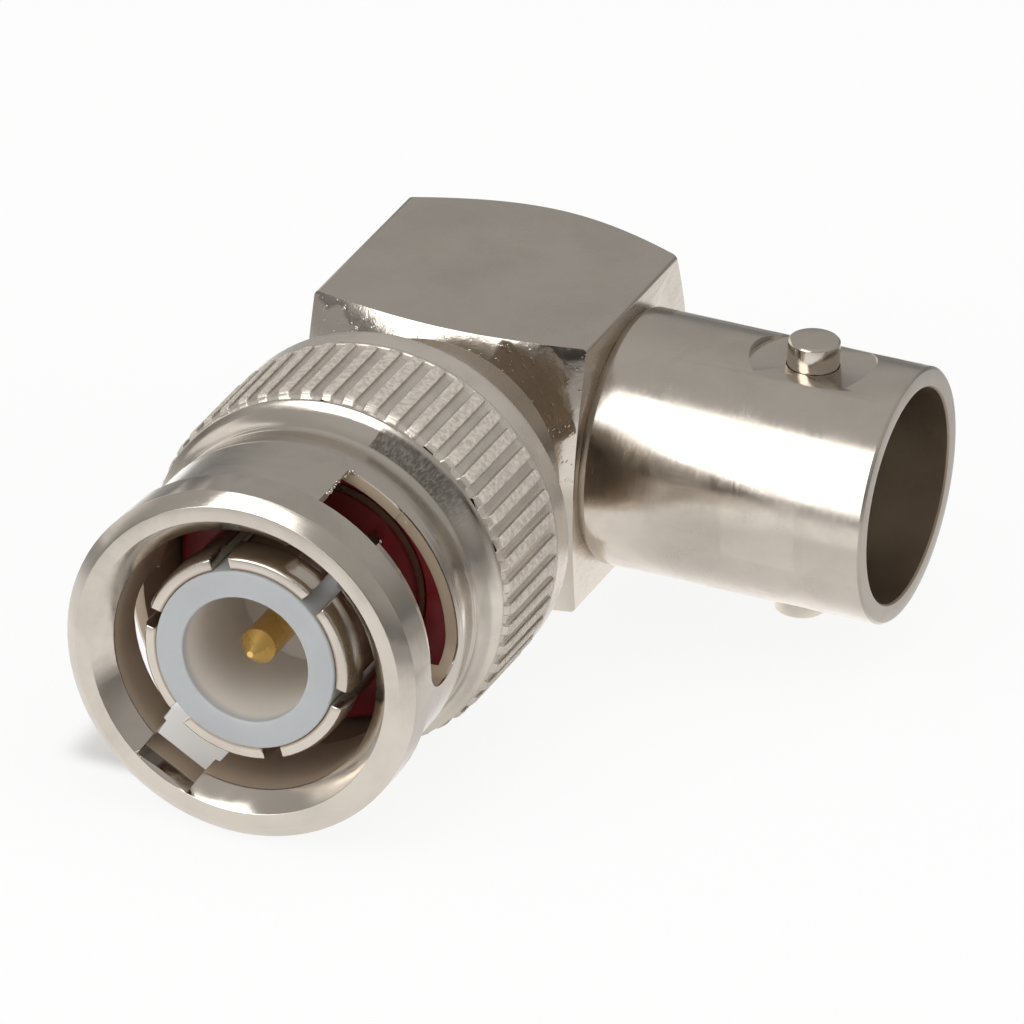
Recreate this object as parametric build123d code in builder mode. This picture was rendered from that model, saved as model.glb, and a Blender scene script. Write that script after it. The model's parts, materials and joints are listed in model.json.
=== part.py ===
from build123d import *
from math import cos, radians, sin, sqrt, tan
import os

os.makedirs("parts", exist_ok=True)

# Right-angle coaxial adapter, bayonet plug to bayonet jack
# The plug looks along -Y, the jack looks along +X, and the jack's bayonet pins stand along Z
# The origin is on the plug's axis, at the front edge of the contact ring on its spring fingers

# Block
jack_axis = 22.5  # origin to the axis of the jack
block_width = 10.76
block_edge_radius = 0.2
front_corner = 4.35  # jack axis to the front corners of the block
back_corner = 4.3  # jack axis to the back corners
front_crown_angle = 18.5
back_crown_angle = 35
front_flat_radius = 4.6
back_flat_radius = 4.7
chamber_radius = 3.3
chamber_front = 3.2  # jack axis to the front end of the chamber
side_passage_radius = 3.1
boss_radius = 4.9  # neck of the block, which stops the nut from behind
cap_radius = 4.1
cap_thickness = 1.5
cap_recess = 0.15
cap_edge_chamfer = 0.15

# Fits
seat_gap = 0.02  # radial gap of pressed and bonded seats
running_gap = 0.07  # radial gap between the nut and the shell that it turns on
face_gap = 0.03  # axial gap on each side of the nut's shoulder

# Front ends in the plug, measured from the tips of the spring fingers
nut_lead = 0.82
insulator_lead = 0.11
pin_recess = 0.39
mating_depth = 6.95  # finger tips to the gasket

# Outer contact of the plug
contact_bore = 3.5
contact_radius = 4.03
contact_tip_radius = 3.92
contact_tip_bevel = 0.25
contact_land = 1.1
contact_relief = 0.16  # the fingers are this much thinner behind their land
finger_count = 6
finger_gap = 0.72
finger_turn = 48
finger_length = 5.1
shell_flange_radius = 5.0
shell_flange_thickness = 1.0
bearing_radius = 4.33
tail_radius = 3.6
tail_bore = 3.2

# Plug insulator and pin
pin_radius = 0.675
pin_point_length = 0.73
pin_point_radius = 0.12
pin_shank_radius = 0.95
pin_head_radius = 1.3
insulator_bore = 2.44
insulator_bore_depth = 5.4
insulator_step = 0.4  # floor of the bore to the outer shoulder behind it
insulator_tail = 0.4  # the insulator ends this far inside the shell

# Gasket and spring
gasket_radius = 5.6
gasket_thickness = 1.5
gasket_edge = 0.2
spring_height = 0.6
spring_thickness = 0.15
washer_radius = 5.0
washer_clearance = 0.1
thrust_thickness = 0.3

# Coupling nut
nut_length = 14.5
lip_radius = 6.79
lip_bevel_radial = 0.48
lip_bevel_axial = 0.41
lip_length = 1.89
lip_back_bevel = 0.08
nut_mouth_radius = 5.75
nut_bore = 5.11
mouth_cone_depth = 0.74
tube_radius = 6.42
flare_foot = 4.92  # nut face to the foot of the flare
flare_top = 5.47
flare_radius = 6.76
collar_start = 6.72
collar_radius = 7.03
nut_relief_start = 4.7
nut_relief_radius = 5.9
knurl_radius = 7.07
knurl_depth = 0.24
knurl_count = 50
knurl_land = 0.46
knurl_floor = 0.24
knurl_length = 4.3
groove_reach = 0.2  # half the width of the groove in front of the knurl
groove_margin = 0.05  # the groove is this much deeper than the knurl
back_rim = 1.48
back_bevel_radial = 0.31
back_bevel_axial = 0.33
shoulder_thickness = 1.5
back_recess_radius = 5.6

# Bayonet slots of the nut
slot_count = 2
entry_angle = 60.6
entry_width = 2.25
entry_floor = 5.62
window_width = 2.6
window_back = 5.1
ramp_turn = 10.5  # entry groove to the start of the slot
slot_turn = 57.1  # entry groove to the locking end
slot_front = 0.73  # back of the lip to the front edge of the slot
slot_back_start = 5.12
slot_back_end = 5.2
slot_end_radius = 1.3

# Jack
jack_reach = 16.5  # plug axis to the mouth of the jack
barrel_radius = 4.825
jack_bore = 4.05
jack_depth = 7.3
jack_mouth_bevel = 0.07
jack_edge_bevel = 0.1
barrel_base_axial = 0.3
barrel_base_radial = 0.17
jack_tail_radius = 4.1
jack_tail_length = 1.6
jack_back_bore = 3.4
stud_radius = 0.97
stud_height = 5.51  # jack axis to the top of each bayonet pin
stud_setback = 3.96  # mouth of the jack to the pins' axis
stud_edge = 0.08
stud_hole_floor = 4.25
spot_radius = 2.35
spot_height = 4.5

# Centre of the jack
sleeve_radius = 2.4
sleeve_length = 4.0
bead_margin = 0.6  # the bead starts this far inside the shell
socket_radius = 1.05
socket_recess = 0.25
socket_bore = 0.69
socket_depth = 5.0
socket_slot = 0.25
socket_slot_depth = 3.6
socket_step = 1.0
tail_rod_radius = 0.7
sleeve_mouth_radius = 1.4
sleeve_mouth_depth = 0.3

# Places along the plug axis
finger_tip = -contact_tip_bevel
nut_face = finger_tip - nut_lead
insulator_face = finger_tip - insulator_lead
pin_tip = finger_tip + pin_recess
gasket_face = finger_tip + mating_depth
finger_root = finger_tip + finger_length
flange_face = gasket_face + gasket_thickness
flange_back = flange_face + shell_flange_thickness
thrust_front = flange_back + spring_height
thrust_back = thrust_front + thrust_thickness
shoulder_front = thrust_back + face_gap
shoulder_back = shoulder_front + shoulder_thickness
boss_face = shoulder_back + face_gap
nut_back = nut_face + nut_length
lip_back = nut_face + lip_length
knurl_back = nut_back - back_rim
knurl_front = knurl_back - knurl_length
knurl_root = knurl_radius - knurl_depth
bore_floor = insulator_face + insulator_bore_depth
insulator_shoulder = bore_floor + insulator_step
chamber_face = jack_axis - chamber_front
insulator_back = chamber_face - insulator_tail

# Places on the block
corner_reach = block_width / sqrt(2)
front_edge = jack_axis - front_corner
back_edge = jack_axis + back_corner
front_flat = front_edge - (corner_reach - front_flat_radius) * tan(radians(front_crown_angle))
back_flat = back_edge + (corner_reach - back_flat_radius) * tan(radians(back_crown_angle))
cap_back = back_flat - cap_recess
cap_front = cap_back - cap_thickness

# Places along the jack axis
block_side = block_width / 2
jack_tail = block_side - jack_tail_length
jack_seat = jack_reach - jack_depth
bead_back = jack_tail + bead_margin
sleeve_face = jack_seat + sleeve_length
socket_face = sleeve_face - socket_recess
socket_floor = socket_face - socket_depth
socket_back = bead_back + socket_step
stud_place = jack_reach - stud_setback

# Axis and central plane of the jack
jack_line = Axis((0, jack_axis, 0), (1, 0, 0))
jack_plane = Plane(origin=(0, jack_axis, 0), x_dir=(1, 0, 0), z_dir=(0, 0, 1))


def cross_plane(along):
    """Plane across the plug axis that faces along +Y."""
    return Plane(origin=(0, along, 0), x_dir=(1, 0, 0), z_dir=(0, 1, 0))


def side_plane(along):
    """Plane across the jack axis that faces along +X."""
    return Plane(origin=(along, jack_axis, 0), x_dir=(0, 1, 0), z_dir=(1, 0, 0))


def radial_plane(angle, along):
    """Plane that faces outwards at this angle round the plug axis, with its y towards the plug's mouth."""
    a = radians(angle)
    return Plane(origin=(0, along, 0), x_dir=(-sin(a), 0, cos(a)), z_dir=(cos(a), 0, sin(a)))


def axial_plane(angle):
    """Plane through the plug axis at this angle: its x is the radius and its y runs along +Y."""
    a = radians(angle)
    return Plane(origin=(0, 0, 0), x_dir=(cos(a), 0, sin(a)), z_dir=(-sin(a), 0, cos(a)))


# Block: a square bar with turned crowns and a round boss, bored from the front, the back and one side
with BuildPart() as angle_body:
    with BuildSketch(cross_plane(front_flat)):
        RectangleRounded(block_width, block_width, block_edge_radius)
    extrude(amount=back_flat - front_flat)
    with BuildSketch(Plane.XY):
        with BuildLine():
            Polyline(
                (0, front_flat),
                (front_flat_radius, front_flat),
                (corner_reach, front_edge),
                (corner_reach, back_edge),
                (back_flat_radius, back_flat),
                (0, back_flat),
                close=True,
            )
        make_face()
    revolve(axis=Axis.Y, mode=Mode.INTERSECT)
    with BuildSketch(cross_plane(boss_face)):
        Circle(boss_radius)
    extrude(amount=chamber_face - boss_face)
    with BuildSketch(cross_plane(boss_face)):
        Circle(tail_radius + seat_gap)
    extrude(amount=chamber_face - boss_face, mode=Mode.SUBTRACT)
    with BuildSketch(cross_plane(chamber_face)):
        Circle(chamber_radius)
    extrude(amount=cap_front - chamber_face, mode=Mode.SUBTRACT)
    with BuildSketch(cross_plane(cap_front)):
        Circle(cap_radius + seat_gap)
    extrude(amount=back_flat - cap_front, mode=Mode.SUBTRACT)
    with BuildSketch(side_plane(0)):
        Circle(side_passage_radius)
    extrude(amount=block_side, mode=Mode.SUBTRACT)
    with BuildSketch(side_plane(jack_tail)):
        Circle(jack_tail_radius + seat_gap)
    extrude(amount=jack_tail_length, mode=Mode.SUBTRACT)
angle_body.part.label = "angle_body"

# Cap pressed into the back of the block
with BuildPart() as rear_cap:
    with BuildSketch(cross_plane(cap_front)):
        Circle(cap_radius)
    extrude(amount=cap_thickness)
    chamfer(rear_cap.edges().group_by(Axis.Y)[-1], cap_edge_chamfer)
rear_cap.part.label = "rear_cap"

# Outer contact of the plug, turned in one piece with its flange, bearing and tail
with BuildPart() as plug_shell:
    with BuildSketch(Plane.XY):
        with BuildLine():
            Polyline(
                (contact_bore, finger_tip),
                (contact_tip_radius, finger_tip),
                (contact_radius, 0),
                (contact_radius, contact_land),
                (contact_radius - contact_relief, contact_land + contact_relief),
                (contact_radius - contact_relief, gasket_face - contact_relief),
                (contact_radius, gasket_face),
                (contact_radius, flange_face),
                (shell_flange_radius, flange_face),
                (shell_flange_radius, flange_back),
                (bearing_radius, flange_back),
                (bearing_radius, boss_face),
                (tail_radius, boss_face),
                (tail_radius, chamber_face),
                (tail_bore, chamber_face),
                (tail_bore, insulator_shoulder),
                (contact_bore, insulator_shoulder),
                close=True,
            )
        make_face()
    revolve(axis=Axis.Y)
    for number in range(finger_count):
        gap_angle = finger_turn + number * 360 / finger_count
        with BuildSketch(radial_plane(gap_angle, (finger_tip + finger_root) / 2)):
            Rectangle(finger_gap, finger_root - finger_tip)
        extrude(amount=contact_radius + seat_gap, mode=Mode.SUBTRACT)
plug_shell.part.label = "plug_shell"

# Insulator of the plug: an open tube in front and a solid bead behind
with BuildPart() as plug_insulator:
    with BuildSketch(Plane.XY):
        with BuildLine():
            Polyline(
                (insulator_bore, insulator_face),
                (contact_bore - seat_gap, insulator_face),
                (contact_bore - seat_gap, insulator_shoulder),
                (tail_bore - seat_gap, insulator_shoulder),
                (tail_bore - seat_gap, insulator_back),
                (pin_shank_radius + seat_gap, insulator_back),
                (pin_shank_radius + seat_gap, bore_floor),
                (insulator_bore, bore_floor),
                close=True,
            )
        make_face()
    revolve(axis=Axis.Y)
plug_insulator.part.label = "plug_insulator"

# Centre pin of the plug, with a cross-drilled head on the jack's axis for the jack's contact
with BuildPart() as plug_pin:
    with BuildSketch(Plane.XY):
        with BuildLine():
            Polyline(
                (0, pin_tip),
                (pin_point_radius, pin_tip),
                (pin_radius, pin_tip + pin_point_length),
                (pin_radius, bore_floor),
                (pin_shank_radius, bore_floor),
                (pin_shank_radius, jack_axis - pin_head_radius),
                (pin_head_radius, jack_axis - pin_head_radius),
                (pin_head_radius, jack_axis + pin_head_radius),
                (0, jack_axis + pin_head_radius),
                close=True,
            )
        make_face()
    revolve(axis=Axis.Y)
    with BuildSketch(side_plane(0)):
        Circle(tail_rod_radius + seat_gap)
    extrude(amount=pin_head_radius, mode=Mode.SUBTRACT)
plug_pin.part.label = "plug_pin"

# Silicone gasket that the mouth of the mated jack presses on
with BuildPart() as plug_gasket:
    with BuildSketch(cross_plane(gasket_face)):
        Circle(gasket_radius)
        Circle(contact_radius + seat_gap, mode=Mode.SUBTRACT)
    extrude(amount=gasket_thickness)
    chamfer(plug_gasket.edges().group_by(Axis.Y)[0].sort_by(SortBy.RADIUS)[-1], gasket_edge)
plug_gasket.part.label = "plug_gasket"

# Bowed spring washer: an annulus cut out of a curved strip
with BuildPart() as spring_washer:
    bow = spring_height - spring_thickness
    with BuildSketch(Plane.XY):
        with BuildLine():
            front_bow = ThreePointArc(
                (-washer_radius, flange_back),
                (0, flange_back + bow),
                (washer_radius, flange_back),
            )
            back_bow = ThreePointArc(
                (-washer_radius, flange_back + spring_thickness),
                (0, thrust_front),
                (washer_radius, flange_back + spring_thickness),
            )
            Line(front_bow @ 0, back_bow @ 0)
            Line(front_bow @ 1, back_bow @ 1)
        make_face()
    extrude(amount=washer_radius, both=True)
    with BuildSketch(cross_plane(flange_back)):
        Circle(washer_radius)
        Circle(bearing_radius + washer_clearance, mode=Mode.SUBTRACT)
    extrude(amount=spring_height, mode=Mode.INTERSECT)
spring_washer.part.label = "spring_washer"

# Flat washer between the spring and the shoulder of the nut
with BuildPart() as thrust_washer:
    with BuildSketch(cross_plane(thrust_front)):
        Circle(washer_radius)
        Circle(bearing_radius + running_gap, mode=Mode.SUBTRACT)
    extrude(amount=thrust_thickness)
thrust_washer.part.label = "thrust_washer"

# Coupling nut
with BuildPart() as coupling_nut:
    # Turned form: lip, tube, flare, collar, knurl and back rim outside, and the bores inside
    with BuildSketch(Plane.XY):
        with BuildLine():
            Polyline(
                (nut_mouth_radius, nut_face),
                (lip_radius - lip_bevel_radial, nut_face),
                (lip_radius, nut_face + lip_bevel_axial),
                (lip_radius, lip_back - lip_back_bevel),
                (lip_radius - lip_back_bevel, lip_back),
                (tube_radius, lip_back),
                (tube_radius, nut_face + flare_foot),
                (flare_radius, nut_face + flare_top),
                (collar_radius, nut_face + collar_start),
                (collar_radius, knurl_front - 2 * groove_reach),
                (knurl_root - groove_margin, knurl_front - groove_reach),
                (knurl_radius, knurl_front),
                (knurl_radius, nut_back - back_bevel_axial),
                (knurl_radius - back_bevel_radial, nut_back),
                (back_recess_radius, nut_back),
                (back_recess_radius, shoulder_back),
                (bearing_radius + running_gap, shoulder_back),
                (bearing_radius + running_gap, shoulder_front),
                (nut_relief_radius, shoulder_front),
                (nut_relief_radius, nut_face + nut_relief_start),
                (nut_bore, nut_face + nut_relief_start),
                (nut_bore, nut_face + mouth_cone_depth),
                close=True,
            )
        make_face()
    revolve(axis=Axis.Y)

    # Straight knurl: grooves with sloped flanks between flat-topped ribs
    flank_reach = knurl_radius + knurl_depth
    knurl_gap = 2 * knurl_radius * sin(radians(180 / knurl_count)) - knurl_land
    with BuildSketch(cross_plane(knurl_front - groove_reach)):
        with PolarLocations(0, knurl_count):
            Polygon(
                (knurl_root, -knurl_floor / 2),
                (flank_reach, knurl_floor / 2 - knurl_gap),
                (flank_reach, knurl_gap - knurl_floor / 2),
                (knurl_root, knurl_floor / 2),
                align=None,
            )
    extrude(amount=knurl_length + groove_reach, mode=Mode.SUBTRACT)

    # Entry grooves through the lip, windows behind it, and the sloping slots to the locking end
    for number in range(slot_count):
        slot_angle = entry_angle + number * 360 / slot_count
        window_length = window_back - lip_length
        slot_core = nut_bore / 2
        slot_reach = 2 * lip_radius
        with BuildSketch(radial_plane(slot_angle, nut_face + window_back / 2)):
            Rectangle(entry_width, window_back)
        extrude(amount=entry_floor, mode=Mode.SUBTRACT)
        with BuildSketch(radial_plane(slot_angle, lip_back + window_length / 2)):
            Rectangle(window_width, window_length)
        extrude(amount=slot_reach, mode=Mode.SUBTRACT)
        for turn, back in ((ramp_turn, slot_back_start), (slot_turn, slot_back_end)):
            with BuildSketch(axial_plane(slot_angle - turn)):
                with BuildLine():
                    Polyline(
                        (slot_core, lip_back + slot_front),
                        (slot_reach, lip_back + slot_front),
                        (slot_reach, nut_face + back),
                        (slot_core, nut_face + back),
                        close=True,
                    )
                make_face()
        loft(mode=Mode.SUBTRACT)
        with BuildSketch(radial_plane(slot_angle - slot_turn, nut_face + slot_back_end - slot_end_radius)):
            Circle(slot_end_radius)
        extrude(amount=slot_reach, mode=Mode.SUBTRACT)
coupling_nut.part.label = "coupling_nut"

# Barrel of the jack, with milled flats and blind holes for its two bayonet pins
with BuildPart() as jack_shell:
    with BuildSketch(jack_plane):
        with BuildLine():
            Polyline(
                (jack_tail, jack_back_bore),
                (jack_tail, jack_tail_radius),
                (block_side, jack_tail_radius),
                (block_side, barrel_radius - barrel_base_radial),
                (block_side + barrel_base_axial, barrel_radius),
                (jack_reach - jack_edge_bevel, barrel_radius),
                (jack_reach, barrel_radius - jack_edge_bevel),
                (jack_reach, jack_bore + jack_mouth_bevel),
                (jack_reach - jack_mouth_bevel, jack_bore),
                (jack_seat, jack_bore),
                (jack_seat, jack_back_bore),
                close=True,
            )
        make_face()
    revolve(axis=jack_line)
    for turn in (0, 180):
        side = jack_plane.rotated((turn, 0, 0))
        with BuildSketch(side.offset(spot_height)):
            with Locations((stud_place, 0)):
                Circle(spot_radius)
        extrude(amount=barrel_radius, mode=Mode.SUBTRACT)
        with BuildSketch(side.offset(stud_hole_floor)):
            with Locations((stud_place, 0)):
                Circle(stud_radius + seat_gap)
        extrude(amount=barrel_radius, mode=Mode.SUBTRACT)
jack_shell.part.label = "jack_shell"

# Bayonet pins
with BuildPart() as bayonet_pin_top:
    with BuildSketch(jack_plane.offset(stud_hole_floor)):
        with Locations((stud_place, 0)):
            Circle(stud_radius)
    extrude(amount=stud_height - stud_hole_floor)
    chamfer(bayonet_pin_top.edges().group_by(Axis.Z)[-1], stud_edge)
bayonet_pin_top.part.label = "bayonet_pin_top"

with BuildPart() as bayonet_pin_bottom:
    mirror(bayonet_pin_top.part, about=Plane.XY)
bayonet_pin_bottom.part.label = "bayonet_pin_bottom"

# Insulator of the jack: a bead in the shell and a sleeve round the socket
with BuildPart() as jack_insulator:
    with BuildSketch(jack_plane):
        with BuildLine():
            Polyline(
                (bead_back, tail_rod_radius + seat_gap),
                (bead_back, jack_back_bore - seat_gap),
                (jack_seat, jack_back_bore - seat_gap),
                (jack_seat, sleeve_radius),
                (sleeve_face, sleeve_radius),
                (sleeve_face, sleeve_mouth_radius),
                (sleeve_face - sleeve_mouth_depth, socket_radius + seat_gap),
                (socket_back, socket_radius + seat_gap),
                (socket_back, tail_rod_radius + seat_gap),
                close=True,
            )
        make_face()
    revolve(axis=jack_line)
jack_insulator.part.label = "jack_insulator"

# Centre contact of the jack: a slotted socket with a thin tail into the head of the plug's pin
with BuildPart() as jack_contact:
    with BuildSketch(jack_plane):
        with BuildLine():
            Polyline(
                (0, 0),
                (0, tail_rod_radius),
                (socket_back, tail_rod_radius),
                (socket_back, socket_radius),
                (socket_face, socket_radius),
                (socket_face, socket_bore),
                (socket_floor, socket_bore),
                (socket_floor, 0),
                close=True,
            )
        make_face()
    revolve(axis=jack_line)
    with BuildSketch(side_plane(socket_face - socket_slot_depth)):
        Rectangle(2 * socket_radius, socket_slot)
    extrude(amount=socket_slot_depth, mode=Mode.SUBTRACT)
jack_contact.part.label = "jack_contact"

export_step(angle_body.part, "parts/angle_body.step")
export_step(rear_cap.part, "parts/rear_cap.step")
export_step(plug_shell.part, "parts/plug_shell.step")
export_step(plug_insulator.part, "parts/plug_insulator.step")
export_step(plug_pin.part, "parts/plug_pin.step")
export_step(plug_gasket.part, "parts/plug_gasket.step")
export_step(spring_washer.part, "parts/spring_washer.step")
export_step(thrust_washer.part, "parts/thrust_washer.step")
export_step(coupling_nut.part, "parts/coupling_nut.step")
export_step(jack_shell.part, "parts/jack_shell.step")
export_step(bayonet_pin_top.part, "parts/bayonet_pin_top.step")
export_step(bayonet_pin_bottom.part, "parts/bayonet_pin_bottom.step")
export_step(jack_insulator.part, "parts/jack_insulator.step")
export_step(jack_contact.part, "parts/jack_contact.step")
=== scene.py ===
import json
import math
import random

import bmesh
import bpy
from mathutils import Matrix, Vector, noise


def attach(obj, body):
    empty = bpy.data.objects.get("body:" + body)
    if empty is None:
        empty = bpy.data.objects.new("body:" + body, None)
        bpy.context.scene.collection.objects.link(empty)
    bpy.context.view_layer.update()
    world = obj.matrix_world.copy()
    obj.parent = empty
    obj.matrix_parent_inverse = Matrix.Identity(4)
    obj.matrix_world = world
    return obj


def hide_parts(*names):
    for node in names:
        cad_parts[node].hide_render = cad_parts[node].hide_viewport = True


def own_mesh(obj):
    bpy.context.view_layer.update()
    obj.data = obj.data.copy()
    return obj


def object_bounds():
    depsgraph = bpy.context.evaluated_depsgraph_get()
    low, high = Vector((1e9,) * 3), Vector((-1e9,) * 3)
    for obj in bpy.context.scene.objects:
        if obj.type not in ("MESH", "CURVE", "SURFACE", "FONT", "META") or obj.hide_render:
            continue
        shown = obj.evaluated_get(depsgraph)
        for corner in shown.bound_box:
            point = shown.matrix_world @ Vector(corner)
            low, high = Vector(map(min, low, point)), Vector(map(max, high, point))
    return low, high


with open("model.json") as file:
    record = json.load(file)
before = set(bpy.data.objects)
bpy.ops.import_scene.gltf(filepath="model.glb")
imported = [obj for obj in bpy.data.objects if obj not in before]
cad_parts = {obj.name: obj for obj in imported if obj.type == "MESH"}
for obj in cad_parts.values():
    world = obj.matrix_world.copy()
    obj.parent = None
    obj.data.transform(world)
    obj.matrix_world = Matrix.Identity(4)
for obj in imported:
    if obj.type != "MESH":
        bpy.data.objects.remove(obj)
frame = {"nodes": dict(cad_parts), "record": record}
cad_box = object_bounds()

MM = 0.001
scene = bpy.context.scene
nodes = frame["nodes"]

# Axes of the part: the plug's axis is Y, and the jack's axis crosses it at the elbow
jack_mount = next(m for m in frame["record"]["mounts"] if m["name"] == "jack_socket")
ELBOW = Vector((0, jack_mount["pos_m"][1], 0))
FLOOR = cad_box[0][2]

# Camera, solved from the photograph: angles in degrees, and where the elbow is in its view
AZIMUTH = 21.479
ELEVATION = 27.009
ROLL = -2.492
DISTANCE = 657.49 * MM
ELBOW_RIGHT = -0.771 * MM
ELBOW_DOWN = -3.991 * MM
FOCAL_PIXELS = 17882.4
PHOTO_PIXELS = 1024
SENSOR = 36.0

# Lamps: name, azimuth, elevation, width, height, radiance, and whether reflections show them
LAMP_DISTANCE = 0.5
LAMPS = (
    ("key", -20.5, 30, 0.32, 0.51, 2.6, True),
    ("fill", 60, 65, 0.6, 0.6, 0.9, False),
    ("side", 80, 20, 0.35, 0.3, 1.6, False),
)

# Colours of the finishes, as linear values
NICKEL = (0.66, 0.60, 0.53)
NICKEL_DULL = (0.44, 0.35, 0.26)
BRASS = (0.74, 0.56, 0.30)
GOLD = (0.86, 0.58, 0.19)
GOLD_DEEP = (0.78, 0.50, 0.15)
STEEL = (0.36, 0.36, 0.36)
INSULATOR = (0.44, 0.455, 0.465)
# Painted warm bounce light for the insulator's bore
INSULATOR_BOUNCE_LIGHT = (0.69, 0.65, 0.60)
RUBBER = (0.34, 0.026, 0.036)
STUDIO = (1.0, 0.99, 0.97)
WHITE = (1, 1, 1)

# Turning lines: their noise is looked up on a ring of this small radius in metres, which draws it out
METAL_WRAP = 0.0009
PLASTIC_WRAP = 0.0012

# Bores: they are duller nearer the axis than a radius, which fades over these lengths in millimetres
BORE_EDGE = 0.06
BORE_FADE = 0.3

# Painted reflection on the barrel, lighter patches below its highlight: along the jack's axis and round it
# from -Y towards +Z in radians
REFLECTION_PATCH_ALONG = (11.1 * MM, 13.85 * MM, 0.12 * MM)
REFLECTION_PATCH_ROUND = (-0.32, 0.2, 0.06)

# Painted shade on the collar's upper right, in tooth-like streaks: along the plug's axis, and round it from
# +X towards +Z in radians
SHADE_STREAK_ALONG = (6.2 * MM, 7.02 * MM, 0.08 * MM)
SHADE_STREAK_RISE = (0.45, 0.85)
SHADE_STREAK_FALL = (1.27, 1.285)

# Worn crests of the knurl: they start at a radius and end at the rim
WORN_RADIUS = (6.93 * MM, 7.03 * MM)
WORN_END = (11.97 * MM, 12.05 * MM)

# Bore of the plug's insulator, where painted bounce light makes it lighter and warmer than the rest
BOUNCE_LIGHT_RADIUS = (2.46 * MM, 2.52 * MM)
BOUNCE_LIGHT_START = (-0.30 * MM, 0.3 * MM)

# Nut: what the scene shapes finer than the solid, in millimetres along the plug's axis and from it
MERGE = 0.0005
SKIN_START = 4.395
SKIN_RADIUS = 6.5
TUBE = 6.42
TUBE_SPAN = (3, 5)
TUBE_MARGIN = 0.003
COLLAR_COLUMNS = 288
COLLAR_PROFILE = (
    (4.36, 6.40), (4.40, 6.418), (4.60, 6.41), (4.90, 6.375), (5.20, 6.32), (5.50, 6.265),
    (5.72, 6.235), (5.88, 6.225), (5.96, 6.232), (6.02, 6.255), (6.05, 6.285), (6.08, 6.30),
    (6.14, 6.302), (6.30, 6.318), (6.46, 6.35), (6.62, 6.40), (6.76, 6.465), (6.88, 6.54),
    (6.96, 6.61), (7.02, 6.685), (7.07, 6.765), (7.11, 6.84), (7.135, 6.872), (7.165, 6.885),
    (7.20, 6.882), (7.23, 6.862), (7.27, 6.80), (7.31, 6.745), (7.36, 6.712), (7.42, 6.70),
    (7.46, 6.70),
)

# Knurl: radii and places of its foot, ribs and rim
RIBS = 50
GROOVE = 6.70
ROOT = 6.85
CREST = 7.066
CREST_MARGIN = 0.003
RIM = 6.995
KNURL_RADIUS = 7.07
KNURL_FOOT = 7.45
KNURL_END = 11.93
RIM_RISE = (KNURL_END - 0.16, KNURL_END + 0.12)
RIM_START = 12.2
RIM_BEVEL = (13.02, 13.42)
RIM_DROP = 0.235
RIM_ROUND = 0.8
FOOT_SLOPE = 0.9
KNURL_ROWS = (
    [7.44, 7.47, 7.50, 7.53, 7.56, 7.59, 7.62, 7.65, 7.68, 7.71, 7.75, 7.80, 7.87, 7.96]
    + [8.08 + 0.14 * k for k in range(26)]
    + [11.66, 11.72, 11.77, 11.81, 11.85, 11.88, 11.91, 11.94, 11.97, 12.0, 12.03, 12.07, 12.12, 12.2]
    + [12.45, 12.75, 13.0, 13.05, 13.09, 13.13, 13.18, 13.25, 13.32, 13.38, 13.42]
)

# Rib: half its width, the length of its round front, its crown, its corners and its flanks
RIB_HALF = 0.252
RIB_FRONT = 0.5
RIB_CROWN = 0.012
RIB_CORNER = 0.13
RIB_FLANK = (-0.05, 0.055)
# How ribs differ, drawn in this order: half width, shift round the axis, end, front, tilt and top
RIB_DRAWS = ((-0.02, 0.02), (-0.012, 0.012), (-0.07, 0.03), (-0.03, 0.045), (-0.12, 0.12), (0, 0.012))
# Columns of points on each rib: how far round from its middle, in millimetres
RIB_TURNS = (
    -0.444, -0.39, -0.35, -0.32, -0.295, -0.27, -0.245, -0.22, -0.19, -0.13, -0.07,
    0.0, 0.07, 0.13, 0.19, 0.22, 0.245, 0.27, 0.295, 0.32, 0.35, 0.39,
)

# Grain of the knurl's surface: where the crests are, its depth there and elsewhere, and its size
CREST_FROM = 7.0
CREST_UNTIL = 12
CREST_GRAIN = 0.008
ROOT_GRAIN = 0.0025
GRAIN_RADIUS = 7
GRAIN_SCALE = 9.0

# Torn bits of plate: place along the plug's axis, angle round it in degrees, and size
BURRS = [(1.95 + 0.16 * k, 71.9, 0.055) for k in range(5)]
BURRS += [(2.75 + 0.15 * k, 71.8, 0.035) for k in range(9)]
BURRS += [(4.02, 71 - 1.0 * k, 0.05 - 0.004 * k) for k in range(8)]
BURRS += [(3.68, 47.0, 0.045), (1.72, 49.2, 0.07)]
# How burrs differ, how far they sink into the tube, and the depth and size of the lumps on them
BURR_TURN = (-0.5, 0.5)
BURR_SHIFT = (-0.05, 0.05)
BURR_GROWTH = (0.7, 1.3)
BURR_STRETCH = (0.7, 1.5)
BURR_SINK = 0.01
BURR_LUMPS = 0.45
BURR_SCALE = 9

# Rounding of sharp edges: the least angle in degrees, and each node's width and segments
BEVEL_ANGLE = 28
NUT_BEVEL = 0.05
BLOCK_BEVEL = 0.14
BEVELS = (
    ("plug_shell", 0.06, 2),
    ("jack_shell", 0.05, 2),
    ("rear_cap", 0.05, 2),
    ("bayonet_pin_top", 0.05, 2),
    ("bayonet_pin_bottom", 0.05, 2),
    ("plug_insulator", 0.09, 3),
    ("plug_gasket", 0.1, 3),
)

# Studio by elevation in degrees: from, to, level below and level above
WALL = (0, 24, 0.20, 0.42)
CEILING = (35, 75, 0.0, 0.08)
# Dark card low in front and bright card low at the left: from, to and soft edge, in degrees
FRONT_ROUND = (2, 30, 6)
FRONT_UP = (-6, 12, 8)
FRONT_LEVEL = 0.18
LEFT_ROUND = (-135, -85, 12)
LEFT_UP = (-5, 20, 8)
LEFT_LIGHT = 0.7

# Floor: half its side in metres, and how pale it is where it is lit
FLOOR_SIDE = 0.6
FLOOR_MATTE = 0.9
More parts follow.
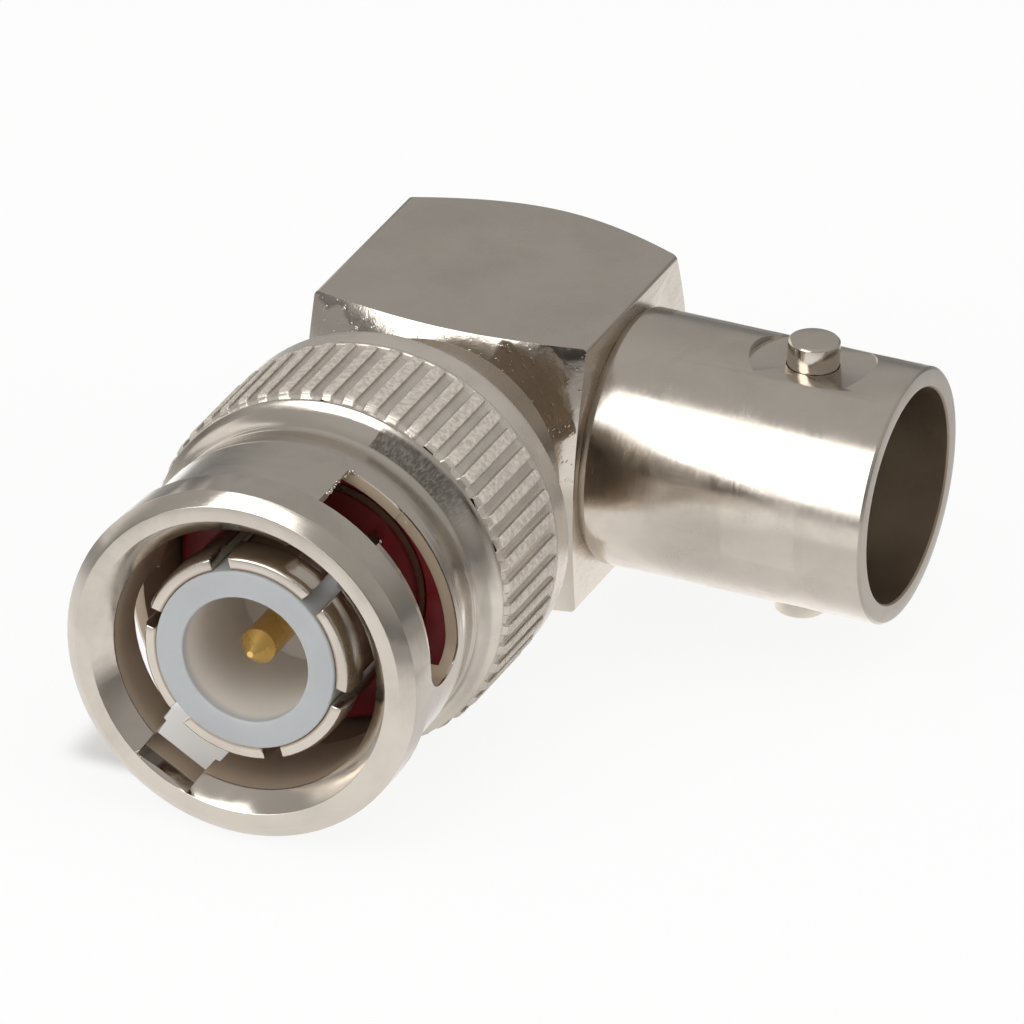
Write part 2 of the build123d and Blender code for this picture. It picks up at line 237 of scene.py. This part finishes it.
# How much of the floor glows instead of being lit: to the camera, under the nut, and in reflections
GLOW_SEEN = 0.88
GLOW_UNDER = 0.10
GLOW_REFLECTED = 0.6
UNDER_X = (-7 * MM, -2.5 * MM, 2 * MM)
UNDER_Y = (3.5 * MM, 7 * MM, 2 * MM)
# Painted light in reflections: the floor's glow fades with the distance from a middle, is brighter behind
# the nut and darker behind it to the right, and is dimmed beside the nut as painted shade
GLOW_MIDDLE = 10 * MM
GLOW_FADE = (22 * MM, 75 * MM, 1.1, 0.0)
BEHIND_Y = (0, 30 * MM, 0.0, 0.55)
BEHIND_X = (14 * MM, 19 * MM, 1.0, -1.0)
BESIDE_X = (2 * MM, 9 * MM)
BESIDE_Y = (8 * MM, 17 * MM, 6 * MM)
BESIDE_SHADE_LEVEL = 0.6


def direction(azimuth, elevation):
    """Unit vector. Azimuth 0 is towards -Y and 90 towards +X, and both are in degrees."""
    a, e = math.radians(azimuth), math.radians(elevation)
    return Vector((math.sin(a) * math.cos(e), -math.cos(a) * math.cos(e), math.sin(e)))


def make_camera():
    """Camera at the photograph's viewing angle."""
    azimuth, roll = math.radians(AZIMUTH), math.radians(ROLL)
    back = direction(AZIMUTH, ELEVATION)
    right = Vector((math.cos(azimuth), math.sin(azimuth), 0))
    down = right.cross(back)
    c, s = math.cos(roll), math.sin(roll)
    right, down = c * right + s * down, -s * right + c * down
    place = ELBOW + back * DISTANCE - right * ELBOW_RIGHT - down * ELBOW_DOWN
    data = bpy.data.cameras.new("camera")
    data.sensor_width = SENSOR
    data.lens = FOCAL_PIXELS / PHOTO_PIXELS * SENSOR
    camera = bpy.data.objects.new("camera", data)
    turn = Matrix((right, -down, back)).transposed()
    camera.matrix_world = Matrix.Translation(place) @ turn.to_4x4()
    scene.collection.objects.link(camera)
    scene.camera = camera


class Graph:
    """Short hand for building a node tree. A value is a number, a colour or another node's output."""

    def __init__(self, tree):
        self.tree = tree
        tree.nodes.clear()

    def add(self, kind, inputs=None, **settings):
        node = self.tree.nodes.new("ShaderNode" + kind)
        for name, value in settings.items():
            setattr(node, name, value)
        for key, value in (inputs or {}).items():
            self.plug(node.inputs[key], value)
        return node

    def plug(self, socket, value):
        if isinstance(value, bpy.types.NodeSocket):
            self.tree.links.new(value, socket)
        elif value is not None:
            socket.default_value = value

    def math(self, operation, a, b=None):
        return self.add("Math", {0: a, 1: b}, operation=operation).outputs[0]

    def times(self, a, b):
        return self.math("MULTIPLY", a, b)

    def plus(self, a, b):
        return self.math("ADD", a, b)

    def noise(self, vector, scale, detail=2.0, roughness=0.5, distortion=0.0):
        """Noise from 0 to 1, with this many lumps in a metre."""
        inputs = {"Vector": vector, "Scale": scale, "Detail": detail}
        inputs.update({"Roughness": roughness, "Distortion": distortion})
        return self.add("TexNoise", inputs).outputs[0]

    def stretched_noise(self, place, scales, detail=3.0, roughness=0.6, distortion=0.0):
        """Noise with its own scale along each axis."""
        stretched = self.add("VectorMath", {0: place, 1: scales}, operation="MULTIPLY").outputs[0]
        return self.noise(stretched, 1.0, detail, roughness, distortion)

    def ramp(self, value, low, high, low_out=0.0, high_out=1.0):
        """low_out up to low, high_out from high on, and a smooth step between them."""
        inputs = {"Value": value, "From Min": low, "From Max": high}
        inputs.update({"To Min": low_out, "To Max": high_out})
        return self.add("MapRange", inputs, interpolation_type="SMOOTHSTEP").outputs[0]

    def between(self, value, low, high, soft):
        """1 from low to high, and 0 further than soft outside."""
        rise = self.ramp(value, low - soft, low)
        fall = self.ramp(value, high, high + soft, 1.0, 0.0)
        return self.times(rise, fall)

    def mix(self, factor, a, b):
        """Colour a at factor 0 and b at 1."""
        return self.add("Mix", {0: factor, 6: a, 7: b}, data_type="RGBA").outputs[2]

    def blend(self, factor, a, b):
        """Number a at factor 0 and b at 1."""
        return self.add("Mix", {0: factor, 2: a, 3: b}, data_type="FLOAT").outputs[0]

    def bumps(self, *layers):
        """Normal from layers of bump, each a height, its depth in millimetres and maybe its strength."""
        normal = None
        for height, depth, *strength in layers:
            inputs = {"Height": height, "Distance": depth * MM, "Normal": normal}
            inputs["Strength"] = strength[0] if strength else 1.0
            normal = self.add("Bump", inputs).outputs[0]
        return normal

    def combine(self, x, y, z):
        return self.add("CombineXYZ", {0: x, 1: y, 2: z}).outputs[0]

    def split(self, vector):
        return self.add("SeparateXYZ", {0: vector}).outputs

    def object_place(self):
        return self.add("TexCoord").outputs["Object"]

    def turned_place(self, about_jack=False):
        """Place, distance along the axis, radius, cosine and sine for a turned piece, in metres."""
        place = self.object_place()
        if about_jack:
            place = self.add("VectorMath", {0: place, 1: tuple(-ELBOW)}, operation="ADD").outputs[0]
        x, y, z = self.split(place)
        along, across = (x, y) if about_jack else (y, x)
        radius = self.math("SQRT", self.plus(self.times(across, across), self.times(z, z)))
        cosine, sine = self.math("DIVIDE", across, radius), self.math("DIVIDE", z, radius)
        return place, along, radius, cosine, sine

    def turning(self, cosine, sine, along, wrap):
        """Coordinates in which noise is drawn out round the axis, for turning lines."""
        return self.combine(self.times(cosine, wrap), self.times(sine, wrap), along)


def rgba(color, gain=1.0):
    return (*[c * gain for c in color], 1.0)


def new_material(name, color, roughness, metallic=0.0):
    """Material with a Principled shader, and the graph to build the rest of it."""
    material = bpy.data.materials.new(name)
    material.use_nodes = True
    graph = Graph(material.node_tree)
    inputs = {"Base Color": rgba(color), "Roughness": roughness, "Metallic": metallic}
    shader = graph.add("BsdfPrincipled", inputs)
    graph.add("OutputMaterial", {0: shader.outputs[0]})
    return material, graph, shader


def shade(graph, shader, color=None, roughness=None, metallic=None, normal=None):
    """Put what is given on the shader, and leave the rest as it is."""
    values = {"Base Color": color, "Roughness": roughness, "Metallic": metallic, "Normal": normal}
    for name, value in values.items():
        graph.plug(shader.inputs[name], value)


def painted_reflection_patch(g, place, along, cosine, sine):
    """How much painted reflection lightens the barrel, in streaky patches below its highlight where light
    squares show.
    """
    front = g.math("ARCTAN2", sine, g.times(cosine, -1.0))
    patch = g.times(g.between(along, *REFLECTION_PATCH_ALONG), g.between(front, *REFLECTION_PATCH_ROUND))
    streaks = g.stretched_noise(place, (420, 1500, 1500), 2.0, 0.5)
    return g.times(patch, g.ramp(streaks, 0.3, 0.7, 0.35, 1.0))


def painted_shade_streaks(g, along, cosine, sine):
    """How much painted shade darkens the collar's upper right, laid on in tooth-like streaks."""
    angle = g.math("ARCTAN2", sine, cosine)
    marks = g.times(g.ramp(angle, *SHADE_STREAK_RISE), g.ramp(angle, *SHADE_STREAK_FALL, 1.0, 0.0))
    marks = g.times(marks, g.between(along, *SHADE_STREAK_ALONG))
    teeth = g.noise(g.combine(g.times(angle, 60), g.times(along, 4200), 0.0), 1.0, 4.0, 0.7)
    return g.times(marks, g.ramp(teeth, 0.4, 0.66, 0.95, 0.5))


def nickel_turned(
    name,
    about_jack=False,
    bore_radius=0.0,
    bore_start=-99.0,
    roughness=0.2,
    line_depth=0.0016,
    collar_shade=False,
):
    """Bright nickel plate over turned brass: turning lines, haze, specks and short scratches.

    Nearer the axis than bore_radius, and from bore_start on along it, it is duller. Both are in millimetres.
    """
    material, g, shader = new_material(name, NICKEL, roughness, 1.0)
    place, along, radius, cosine, sine = g.turned_place(about_jack)
    turned = g.turning(cosine, sine, g.plus(along, radius), METAL_WRAP)
    fine = g.noise(turned, 9000, 3.0, 0.6)
    broad = g.noise(turned, 1300, 2.0, 0.5)
    haze = g.noise(place, 420, 4.0, 0.6, 0.4)
    specks = g.noise(place, 7000, 2.0, 0.6)
    scratch = g.ramp(g.stretched_noise(place, (900, 5200, 2100), 3.0, 0.6, 0.8), 0.70, 0.78)
    bore = g.ramp(radius, bore_radius * MM, (bore_radius + BORE_EDGE) * MM, 1.0, 0.0)
    bore = g.times(bore, g.ramp(along, bore_start * MM, (bore_start + BORE_FADE) * MM))
    rough = g.plus(g.ramp(haze, 0.3, 0.75, roughness - 0.06, roughness + 0.09), g.times(scratch, 0.12))
    rough = g.plus(rough, g.ramp(fine, 0.4, 0.8, -0.02, 0.04))
    rough = g.blend(bore, rough, g.ramp(haze, 0.3, 0.7, 0.40, 0.50))
    color = g.mix(g.ramp(haze, 0.35, 0.8), rgba(NICKEL), rgba(NICKEL, 0.88))
    if about_jack:
        # Painted reflection: the barrel is lighter, and a little less metallic, in patches below its
        # highlight
        patch = painted_reflection_patch(g, place, along, cosine, sine)
        color = g.mix(g.times(patch, 0.6), color, rgba(NICKEL, 1.12))
        metallic = g.ramp(patch, 0, 1, 1.0, 0.82)
    else:
        metallic = g.ramp(bore, 0, 1, 1.0, 0.3)
    if collar_shade:
        # Painted shade: the collar is darkened in streaks on its upper right
        color = g.mix(painted_shade_streaks(g, along, cosine, sine), color, rgba(NICKEL, 0.26))
    color = g.mix(bore, color, rgba(NICKEL_DULL))
    normal = g.bumps((fine, line_depth), (broad, line_depth * 4), (specks, 0.0007), (scratch, 0.0015, 0.6))
    shade(g, shader, color, rough, metallic, normal)
    return material


def nickel_knurl():
    """Knurl: grainy pale crests over smoother, darker grooves."""
    material, g, shader = new_material("nickel_knurl", NICKEL, 0.3, 1.0)
    place, along, radius, *_ = g.turned_place()
    crest = g.times(g.ramp(radius, *WORN_RADIUS), g.ramp(along, *WORN_END, 1.0, 0.0))
    grain = g.noise(place, 5200, 4.0, 0.65)
    lumps = g.noise(place, 2300, 3.0, 0.55)
    haze = g.noise(place, 700, 3.0, 0.55)
    pores = g.noise(place, 4200, 2.0, 0.6)
    rough = g.blend(crest, g.ramp(haze, 0.3, 0.7, 0.2, 0.3), g.ramp(grain, 0.3, 0.7, 0.5, 0.68))
    worn = g.mix(g.ramp(grain, 0.35, 0.65), rgba(NICKEL, 0.78), rgba(NICKEL, 1.12))
    plain = g.mix(g.ramp(haze, 0.35, 0.75), rgba(NICKEL), rgba(NICKEL, 0.85))
    metallic = g.ramp(crest, 0, 1, 0.65, 0.35)
    normal = g.bumps((g.times(grain, crest), 0.07), (g.times(lumps, crest), 0.07), (pores, 0.0022))
    shade(g, shader, g.mix(crest, plain, worn), rough, metallic, normal)
    return material


def nickel_block():
    """Plated block: smooth sides and top with a fine drawn grain, and a bright hammered crown."""
    material, g, shader = new_material("nickel_block", NICKEL, 0.2, 1.0)
    place = g.object_place()
    x, y, z = g.split(place)
    normal_y = g.split(g.add("NewGeometry").outputs["True Normal"])[1]
    crown = g.ramp(g.math("ABSOLUTE", normal_y), 0.35, 0.7)
    grain = g.noise(g.combine(g.times(x, 7000), g.times(y, 900), g.times(z, 7000)), 1.0, 4.0, 0.65)
    haze = g.noise(place, 330, 4.0, 0.6, 0.3)
    lumps = g.noise(place, 620, 3.0, 0.5, 0.4)
    ripples = g.noise(place, 1900, 3.0, 0.55, 0.6)
    pits = g.ramp(g.noise(place, 4200, 2.0, 0.6), 0.62, 0.72)
    color = g.mix(g.ramp(haze, 0.3, 0.8), rgba(NICKEL), rgba(NICKEL, 0.9))
    rough = g.plus(g.ramp(haze, 0.3, 0.7, 0.20, 0.30), g.ramp(grain, 0.3, 0.7, -0.03, 0.04))
    rough = g.blend(crown, rough, g.ramp(haze, 0.3, 0.7, 0.10, 0.17))
    lumps, ripples, pits = (g.times(height, crown) for height in (lumps, ripples, pits))
    normal = g.bumps((grain, 0.0016), (lumps, 0.01), (ripples, 0.004), (pits, 0.004))
    shade(g, shader, color, rough, normal=normal)
    return material


def nickel_edge():
    """Rounded edges of the block: pitted plate, worn to the brass in spots."""
    material, g, shader = new_material("nickel_edge", NICKEL, 0.2, 1.0)
    place = g.object_place()
    wear = g.ramp(g.noise(place, 1500, 3.0, 0.6), 0.52, 0.70)
    pits = g.noise(place, 3600, 3.0, 0.6)
    rough = g.ramp(pits, 0.3, 0.7, 0.12, 0.3)
    shade(g, shader, g.mix(wear, rgba(NICKEL), rgba(BRASS)), rough, normal=g.bumps((pits, 0.018)))
    return material


def gold_plate():
    """Gold plate with fine turning lines and a deeper tone in places."""
    material, g, shader = new_material("gold_plate", GOLD, 0.24, 1.0)
    place, along, _, cosine, sine = g.turned_place()
    lines = g.noise(g.turning(cosine, sine, along, METAL_WRAP), 11000, 3.0, 0.6)
    haze = g.noise(place, 900, 3.0, 0.6)
    color = g.mix(g.ramp(haze, 0.35, 0.7), rgba(GOLD), rgba(GOLD_DEEP))
    shade(g, shader, color, g.ramp(haze, 0.3, 0.7, 0.2, 0.34), normal=g.bumps((lines, 0.0018)))
    return material


def white_plastic():
    """Waxy insulator, pale and slightly blue outside, with painted warm bounce light inside its bore."""
    material, g, shader = new_material("white_insulator", INSULATOR, 0.42)
    shader.inputs["IOR"].default_value = 1.38
    shader.inputs["Subsurface Weight"].default_value = 0.35
    shader.inputs["Subsurface Radius"].default_value = (1.0, 1.0, 1.0)
    shader.inputs["Subsurface Scale"].default_value = 0.5 * MM
    place, along, radius, cosine, sine = g.turned_place()
    lines = g.noise(g.turning(cosine, sine, g.plus(along, radius), PLASTIC_WRAP), 6500, 3.0, 0.6)
    haze = g.noise(place, 500, 3.0, 0.6)
    # Painted bounce light: the bore is lighter and warmer than the rest
    bore = g.times(g.ramp(radius, *BOUNCE_LIGHT_RADIUS, 1.0, 0.0), g.ramp(along, *BOUNCE_LIGHT_START))
    outside = g.mix(g.ramp(haze, 0.35, 0.7), rgba(INSULATOR), rgba(INSULATOR, 0.95))
    color = g.mix(bore, outside, rgba(INSULATOR_BOUNCE_LIGHT))
    shade(g, shader, color, g.ramp(haze, 0.3, 0.7, 0.36, 0.5), normal=g.bumps((lines, 0.0022)))
    return material


def red_rubber():
    """Deep red silicone with a fine grain."""
    material, g, shader = new_material("red_silicone", RUBBER, 0.4)
    place = g.object_place()
    grain = g.noise(place, 5200, 3.0, 0.6)
    haze = g.noise(place, 600, 3.0, 0.6)
    color = g.mix(g.ramp(haze, 0.3, 0.7), rgba(RUBBER), rgba(RUBBER, 0.8))
    shade(g, shader, color, g.ramp(haze, 0.3, 0.7, 0.34, 0.5), normal=g.bumps((grain, 0.002)))
    return material


def spring_steel():
    """Rolled steel of the two washers."""
    material, g, shader = new_material("steel", STEEL, 0.32, 1.0)
    grain = g.stretched_noise(g.object_place(), (700, 9000, 9000))
    shade(g, shader, roughness=g.ramp(grain, 0.3, 0.7, 0.26, 0.4), normal=g.bumps((grain, 0.002)))
    return material


def dress(names, *materials):
    """Give CAD nodes these materials."""
    for name in names:
        mesh = nodes[name].data
        mesh.materials.clear()
        for material in materials:
            mesh.materials.append(material)


def soften(thing, width, segments=2, edge_slot=-1):
    """Round the sharp edges of a piece by this width in millimetres."""
    weld = thing.modifiers.new("weld", "WELD")
    weld.merge_threshold = MERGE * MM
    bevel = thing.modifiers.new("bevel", "BEVEL")
    bevel.width = width * MM
    bevel.segments = segments
    bevel.limit_method = "ANGLE"
    bevel.angle_limit = math.radians(BEVEL_ANGLE)
    bevel.material = edge_slot
    bevel.harden_normals = False
    normals = thing.modifiers.new("normals", "WEIGHTED_NORMAL")
    normals.weight = 50


def new_piece(name, mesh, material, body):
    """Piece in the scene that rides on a body."""
    piece = bpy.data.objects.new(name, mesh)
    scene.collection.objects.link(piece)
    mesh.materials.clear()
    mesh.materials.append(material)
    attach(piece, body)
    return piece


def ring_piece(name, rows, columns, verts, material):
    """Smooth piece of the nut, from rows of points that each go once round the axis."""
    faces = []
    for row in range(rows - 1):
        near, far = row * columns, (row + 1) * columns
        for k in range(columns):
            n = (k + 1) % columns
            faces.append((near + k, far + k, far + n, near + n))
    mesh = bpy.data.meshes.new(name)
    mesh.from_pydata(verts, [], faces)
    mesh.shade_smooth()
    return new_piece(name, mesh, material, "nut")


def smooth(value, low, high):
    """Smooth step from 0 at low to 1 at high."""
    t = min(max((value - low) / (high - low), 0.0), 1.0)
    return t * t * (3 - 2 * t)


def make_collar(material):
    """Hollow collar with its ring, edge and V groove, turned from its profile."""
    verts = []
    for y, r in COLLAR_PROFILE:
        for k in range(COLLAR_COLUMNS):
            a = 2 * math.pi * k / COLLAR_COLUMNS
            verts.append((r * MM * math.cos(a), y * MM, r * MM * math.sin(a)))
    return ring_piece("nut_collar", len(COLLAR_PROFILE), COLLAR_COLUMNS, verts, material)


def rib_radius(y, t, rib):
    """Radius of the knurl at this place along the axis and this turn from the middle of a rib."""
    half, shift, end, front, tilt, top = rib
    u = min(max((y - KNURL_FOOT - front - tilt * t) / RIB_FRONT, 0.0), 1.0)
    rise = GROOVE + (CREST - GROOVE) * math.sqrt(1 - (1 - u) ** 2)
    crest = min(top - RIB_CROWN * (t / half) ** 2, rise)
    low = ROOT + (RIM - ROOT) * smooth(y, *RIM_RISE)
    low = min(low, GROOVE + FOOT_SLOPE * max(y - KNURL_FOOT, 0.0))
    across, along = abs(t - shift) - half, y - end
    reach = math.hypot(max(across + RIB_CORNER, 0.0), max(along + RIB_CORNER, 0.0))
    outside = min(max(across, along) + RIB_CORNER, 0.0) + reach - RIB_CORNER
    share = smooth(-outside, *RIB_FLANK)
    if crest > low:
        return max(low, low + (crest - low) * share)
    return min(crest, low) if share > 0.5 else low


def make_knurl(material):
    """Knurled band with its rim: every rib differs a little in width, height and end."""
    rng = random.Random(7)
    ribs = []
    for _ in range(RIBS):
        half, shift, end, front, tilt, drop = [rng.uniform(*span) for span in RIB_DRAWS]
        ribs.append((RIB_HALF + half, shift, KNURL_END + end, front, tilt, CREST - drop))
    verts = []
    for y in KNURL_ROWS:
        for number, rib in enumerate(ribs):
            for t in RIB_TURNS:
                a = 2 * math.pi * number / RIBS + t / KNURL_RADIUS
                r = rib_radius(y, t, rib)
                if y > RIM_START:
                    r = RIM - RIM_DROP * smooth(y, *RIM_BEVEL) ** RIM_ROUND
                point = Vector((math.cos(a), 0, math.sin(a)))
                spot = Vector((point.x * GRAIN_RADIUS, y, point.z * GRAIN_RADIUS))
                rough = noise.noise(spot * GRAIN_SCALE)
                grain = CREST_GRAIN if r > CREST_FROM and y < CREST_UNTIL else ROOT_GRAIN
                r = min(r + grain * rough, CREST + CREST_MARGIN)
                verts.append((r * MM * point.x, y * MM, r * MM * point.z))
    return ring_piece("nut_knurl", len(KNURL_ROWS), RIBS * len(RIB_TURNS), verts, material)


def make_burrs(material):
    """Torn bits of plate along the end of the upper slot and the start of its rear edge."""
    rng = random.Random(11)
    form = bmesh.new()
    reach = TUBE - BURR_SINK
    for y, angle, size in BURRS:
        a = math.radians(angle + rng.uniform(*BURR_TURN))
        middle = Vector((reach * math.cos(a), y + rng.uniform(*BURR_SHIFT), reach * math.sin(a))) * MM
        radius = size * rng.uniform(*BURR_GROWTH) * MM
        lump = bmesh.ops.create_icosphere(form, subdivisions=2, radius=radius)["verts"]
        stretch = Vector([rng.uniform(*BURR_STRETCH) for _ in range(3)])
        for v in lump:
            v.co *= 1 + BURR_LUMPS * noise.noise(v.co / MM * BURR_SCALE + Vector((y, angle, 0)))
            v.co = Vector([v.co[k] * stretch[k] for k in range(3)]) + middle
    mesh = bpy.data.meshes.new("nut_burrs")
    form.to_mesh(mesh)
    form.free()
    mesh.shade_smooth()
    return new_piece("nut_burrs", mesh, material, "nut")


def make_shell(material):
    """The nut's solid without its outer skin from the flare back, and with one radius along its tube."""
    mesh = nodes["coupling_nut"].data.copy()
    mesh.name = "nut_shell"
    form = bmesh.new()
    form.from_mesh(mesh)
    bmesh.ops.remove_doubles(form, verts=form.verts, dist=MERGE * MM)
    skin = [
        face
        for face in form.faces
        if all(math.hypot(v.co.x, v.co.z) > SKIN_RADIUS * MM for v in face.verts)
        and min(v.co.y for v in face.verts) > SKIN_START * MM
    ]
    bmesh.ops.delete(form, geom=skin, context="FACES")
    for v in form.verts:
        radius = math.hypot(v.co.x, v.co.z)
        if radius > (TUBE + TUBE_MARGIN) * MM and TUBE_SPAN[0] * MM < v.co.y < TUBE_SPAN[1] * MM:
            v.co.x *= TUBE * MM / radius
            v.co.z *= TUBE * MM / radius
    form.to_mesh(mesh)
    form.free()
    shell = new_piece("nut_shell", mesh, material, "nut")
    mesh.shade_smooth()
    soften(shell, NUT_BEVEL, 3)
    return shell


def make_nut(nickel, collar_nickel, knurl_nickel):
    """Nut: the turned and slotted shell of the solid, with a finer skin on its collar, knurl and rim."""
    pieces = [make_shell(nickel), make_collar(collar_nickel), make_knurl(knurl_nickel), make_burrs(nickel)]
    for piece in pieces:
        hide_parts("coupling_nut")


def make_spring(material):
    """Bowed spring washer, a copy of the solid's mesh that rides on the body."""
    mesh = nodes["spring_washer"].data.copy()
    mesh.name = "spring_bow"
    piece = new_piece("spring_bow", mesh, material, "body")
    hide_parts("spring_washer")
    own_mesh(piece)


def make_lamp(name, azimuth, elevation, width, height, radiance, shine):
    """Square soft lamp that faces the elbow."""
    away = direction(azimuth, elevation)
    data = bpy.data.lights.new(name, "AREA")
    data.shape = "RECTANGLE"
    data.size, data.size_y = width, height
    data.energy = radiance * math.pi * width * height
    lamp = bpy.data.objects.new(name, data)
    lamp.location = ELBOW + away * LAMP_DISTANCE
    lamp.rotation_euler = away.to_track_quat("Z", "Y").to_euler()
    lamp.visible_camera = False
    lamp.visible_glossy = shine
    scene.collection.objects.link(lamp)


def make_world():
    """Grey studio round the object, and white where the camera sees it. Angles are in degrees."""
    world = bpy.data.worlds.new("studio")
    scene.world = world
    world.use_nodes = True
    g = Graph(world.node_tree)
    x, y, z = g.split(g.add("TexCoord").outputs["Generated"])
    azimuth = g.times(g.math("ARCTAN2", x, g.times(y, -1.0)), 180 / math.pi)
    elevation = g.times(g.math("ARCSINE", z), 180 / math.pi)
    level = g.plus(g.ramp(elevation, *WALL), g.ramp(elevation, *CEILING))
    front = g.times(g.between(azimuth, *FRONT_ROUND), g.between(elevation, *FRONT_UP))
    level = g.times(level, g.ramp(front, 0, 1, 1.0, FRONT_LEVEL))
    left = g.times(g.between(azimuth, *LEFT_ROUND), g.between(elevation, *LEFT_UP))
    level = g.plus(level, g.times(left, LEFT_LIGHT))
    studio = g.add("Background", {"Color": rgba(STUDIO), "Strength": level})
    white = g.add("Background", {"Color": rgba(WHITE), "Strength": 1.0})
    camera_ray = g.add("LightPath").outputs["Is Camera Ray"]
    mixed = g.add("MixShader", {0: camera_ray, 1: studio.outputs[0], 2: white.outputs[0]})
    g.add("OutputWorld", {0: mixed.outputs[0]})


def make_floor():
    """Pale floor: white to the camera, with painted light near the object and painted shade beside the nut
    in reflections, and a faint shadow kept.
    """
    mesh = bpy.data.meshes.new("floor")
    signs = ((-1, -1), (1, -1), (1, 1), (-1, 1))
    mesh.from_pydata([(x * FLOOR_SIDE, y * FLOOR_SIDE, FLOOR) for x, y in signs], [], [(0, 1, 2, 3)])
    floor = bpy.data.objects.new("floor", mesh)
    scene.collection.objects.link(floor)
    material = bpy.data.materials.new("floor")
    material.use_nodes = True
    g = Graph(material.node_tree)
    path = g.add("LightPath").outputs
    x, y, _ = g.split(g.object_place())
    seen = g.math("MAXIMUM", path["Is Camera Ray"], path["Is Transmission Ray"])
    under = g.times(g.between(x, *UNDER_X), g.between(y, *UNDER_Y))
    share = g.times(seen, g.ramp(under, 0, 1, GLOW_SEEN, GLOW_UNDER))
    share = g.plus(share, g.times(path["Is Glossy Ray"], GLOW_REFLECTED))
    # In reflections the floor glows with painted light, most near the object
    away = g.plus(g.times(x, x), g.math("POWER", g.plus(y, -GLOW_MIDDLE), 2.0))
    near = g.ramp(g.math("SQRT", away), *GLOW_FADE)
    # Painted light behind the nut, and painted shade behind it to the right
    behind = g.times(g.ramp(y, *BEHIND_Y), g.ramp(x, *BEHIND_X))
    near = g.times(near, g.plus(behind, 1.0))
    # Painted shade beside the nut, seen in reflections
    beside = g.times(g.ramp(x, *BESIDE_X), g.between(y, *BESIDE_Y))
    near = g.times(near, g.ramp(beside, 0, 1, 1.0, BESIDE_SHADE_LEVEL))
    matte = g.add("BsdfDiffuse", {"Color": rgba(WHITE, FLOOR_MATTE)})
    glow = g.add("Emission", {"Color": rgba(WHITE), "Strength": g.blend(seen, near, 1.0)})
    mixed = g.add("MixShader", {0: share, 1: matte.outputs[0], 2: glow.outputs[0]})
    g.add("OutputMaterial", {0: mixed.outputs[0]})
    mesh.materials.append(material)


def plain(box):
    """Box as lists of numbers."""
    return [[float(v) for v in corner] for corner in box]


make_camera()
make_world()
make_floor()
for lamp in LAMPS:
    make_lamp(*lamp)

nut_nickel = nickel_turned("nickel_nut", bore_radius=6.3, bore_start=-0.4, roughness=0.18)
collar_nickel = nickel_turned("nickel_collar", line_depth=0.003, collar_shade=True)
jack_nickel = nickel_turned("nickel_jack", about_jack=True, bore_radius=4.08)
steel = spring_steel()
dress(["plug_shell"], nickel_turned("nickel_shell", bore_radius=3.55, line_depth=0.002))
dress(["rear_cap"], nickel_turned("nickel_cap"))
dress(["jack_shell", "bayonet_pin_top", "bayonet_pin_bottom"], jack_nickel)
dress(["angle_body"], nickel_block(), nickel_edge())
dress(["plug_pin", "jack_contact"], gold_plate())
dress(["plug_insulator", "jack_insulator"], white_plastic())
dress(["plug_gasket"], red_rubber())
dress(["thrust_washer"], steel)

soften(nodes["angle_body"], BLOCK_BEVEL, 3, edge_slot=1)
for name, width, segments in BEVELS:
    soften(nodes[name], width, segments)
make_spring(steel)
make_nut(nut_nickel, collar_nickel, nickel_knurl())

scene.view_settings.view_transform = "Standard"
bpy.context.view_layer.update()
